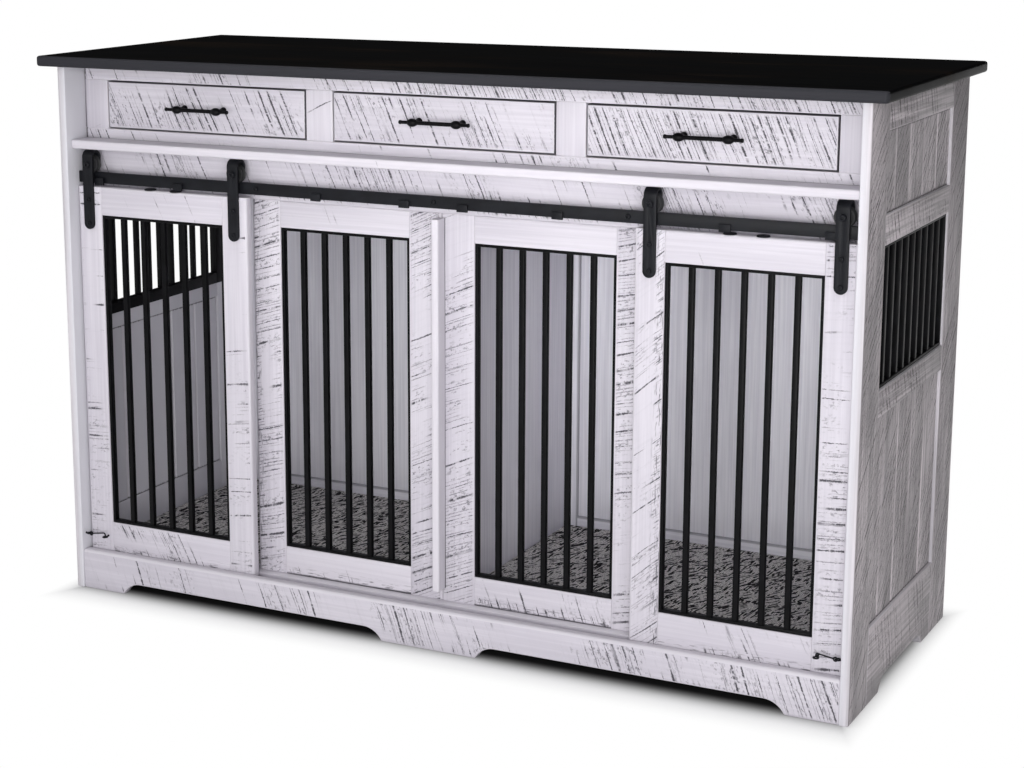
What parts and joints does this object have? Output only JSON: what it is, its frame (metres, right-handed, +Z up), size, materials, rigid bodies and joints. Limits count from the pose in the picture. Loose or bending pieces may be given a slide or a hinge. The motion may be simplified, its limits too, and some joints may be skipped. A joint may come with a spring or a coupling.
{
  "type": "double dog kennel cabinet",
  "caption": "Console cabinet kennel with sliding barred doors on an overhead track, a divided interior, a row of drawers above and a dark overhanging top.",
  "frame": {"origin": "on the floor, below the middle of the top slab", "axes": "+X to the right along the front, +Y to the back, +Z up"},
  "size_m": [1.575, 0.61, 1.012],
  "materials": {
    "white_wood": "whitewashed rough-sawn, matt",
    "inner_wood": "pale painted, smooth",
    "dark_top": "near-black stain, satin",
    "black_steel": "matt black coating",
    "wheel_nylon": "matt",
    "mat_fabric": "flecked black and white weave"
  },
  "bodies": {
    "carcass": {"top_slab": "dark_top", "kickboard": "white_wood", "door_sill": "white_wood", "back_frame": "inner_wood", "back_panels": "inner_wood", "floor_cleats": "inner_wood", "floor_deck": "inner_wood", "kennel_ceiling": "inner_wood", "divider": "inner_wood", "drawer_face_frame": "white_wood", "header_board": "white_wood", "ledge": "white_wood", "stop_strip": "white_wood", "track_rail": "black_steel", "track_standoffs": "black_steel", "track_stop_blocks": "black_steel", "hook_pivot_eyes": "black_steel", "drawer_runners": "inner_wood", "left_end_frame": "white_wood", "left_end_bottom_rail": "white_wood", "left_end_boards": "white_wood", "left_end_grille": "black_steel", "left_floor_mat": "mat_fabric", "left_fixed_frame": "white_wood", "left_fixed_grille": "black_steel", "right_end_frame": "white_wood", "right_end_bottom_rail": "white_wood", "right_end_boards": "white_wood", "right_end_grille": "black_steel", "right_floor_mat": "mat_fabric", "right_fixed_frame": "white_wood", "right_fixed_grille": "black_steel"},
    "left_door": {"left_door_frame": "white_wood", "left_door_grille": "black_steel", "left_door_hangers": "black_steel", "left_hanger_bolts": "black_steel", "left_anti_jump_discs": "black_steel", "left_keeper_eye": "black_steel"},
    "left_inner_wheel_body": {"left_inner_wheel": "wheel_nylon"},
    "left_outer_wheel_body": {"left_outer_wheel": "wheel_nylon"},
    "left_hook_body": {"left_hook": "black_steel"},
    "right_door": {"right_door_frame": "white_wood", "right_door_grille": "black_steel", "right_door_hangers": "black_steel", "right_hanger_bolts": "black_steel", "right_anti_jump_discs": "black_steel", "right_keeper_eye": "black_steel"},
    "right_inner_wheel_body": {"right_inner_wheel": "wheel_nylon"},
    "right_outer_wheel_body": {"right_outer_wheel": "wheel_nylon"},
    "right_hook_body": {"right_hook": "black_steel"},
    "left_drawer": {"left_drawer_front": "white_wood", "left_drawer_box": "inner_wood", "left_drawer_pull": "black_steel"},
    "middle_drawer": {"middle_drawer_front": "white_wood", "middle_drawer_box": "inner_wood", "middle_drawer_pull": "black_steel"},
    "right_drawer": {"right_drawer_front": "white_wood", "right_drawer_box": "inner_wood", "right_drawer_pull": "black_steel"}
  },
  "joints": [
    {"name": "left_door_slide", "type": "slide", "parent": "carcass", "child": "left_door", "axis": [1, 0, 0], "range_m": [0, 0.362]},
    {"name": "left_inner_wheel_roll", "type": "hinge", "parent": "left_door", "child": "left_inner_wheel_body", "pos_m": [-0.396, -0.2485, 0.8128], "axis": [0, 1, 0], "range_deg": [0, 1540]},
    {"name": "left_outer_wheel_roll", "type": "hinge", "parent": "left_door", "child": "left_outer_wheel_body", "pos_m": [-0.712, -0.2485, 0.8128], "axis": [0, 1, 0], "range_deg": [0, 1540]},
    {"name": "left_hook_swing", "type": "hinge", "parent": "carcass", "child": "left_hook_body", "pos_m": [-0.7293, -0.269, 0.106], "axis": [0, -1, 0], "range_deg": [-9, 95]},
    {"name": "right_door_slide", "type": "slide", "parent": "carcass", "child": "right_door", "axis": [-1, 0, 0], "range_m": [0, 0.362]},
    {"name": "right_inner_wheel_roll", "type": "hinge", "parent": "right_door", "child": "right_inner_wheel_body", "pos_m": [0.396, -0.2485, 0.8128], "axis": [0, -1, 0], "range_deg": [0, 1540]},
    {"name": "right_outer_wheel_roll", "type": "hinge", "parent": "right_door", "child": "right_outer_wheel_body", "pos_m": [0.712, -0.2485, 0.8128], "axis": [0, -1, 0], "range_deg": [0, 1540]},
    {"name": "right_hook_swing", "type": "hinge", "parent": "carcass", "child": "right_hook_body", "pos_m": [0.7293, -0.269, 0.106], "axis": [0, 1, 0], "range_deg": [-9, 95]},
    {"name": "left_drawer_slide", "type": "slide", "parent": "carcass", "child": "left_drawer", "axis": [0, -1, 0], "range_m": [0, 0.33]},
    {"name": "middle_drawer_slide", "type": "slide", "parent": "carcass", "child": "middle_drawer", "axis": [0, -1, 0], "range_m": [0, 0.33]},
    {"name": "right_drawer_slide", "type": "slide", "parent": "carcass", "child": "right_drawer", "axis": [0, -1, 0], "range_m": [0, 0.33]}
  ],
  "couplings": [
    {"joint": "left_inner_wheel_roll", "follows": "left_door_slide", "rad_per_m": 74.074},
    {"joint": "left_outer_wheel_roll", "follows": "left_door_slide", "rad_per_m": 74.074},
    {"joint": "right_inner_wheel_roll", "follows": "right_door_slide", "rad_per_m": 74.074},
    {"joint": "right_outer_wheel_roll", "follows": "right_door_slide", "rad_per_m": 74.074}
  ]
}
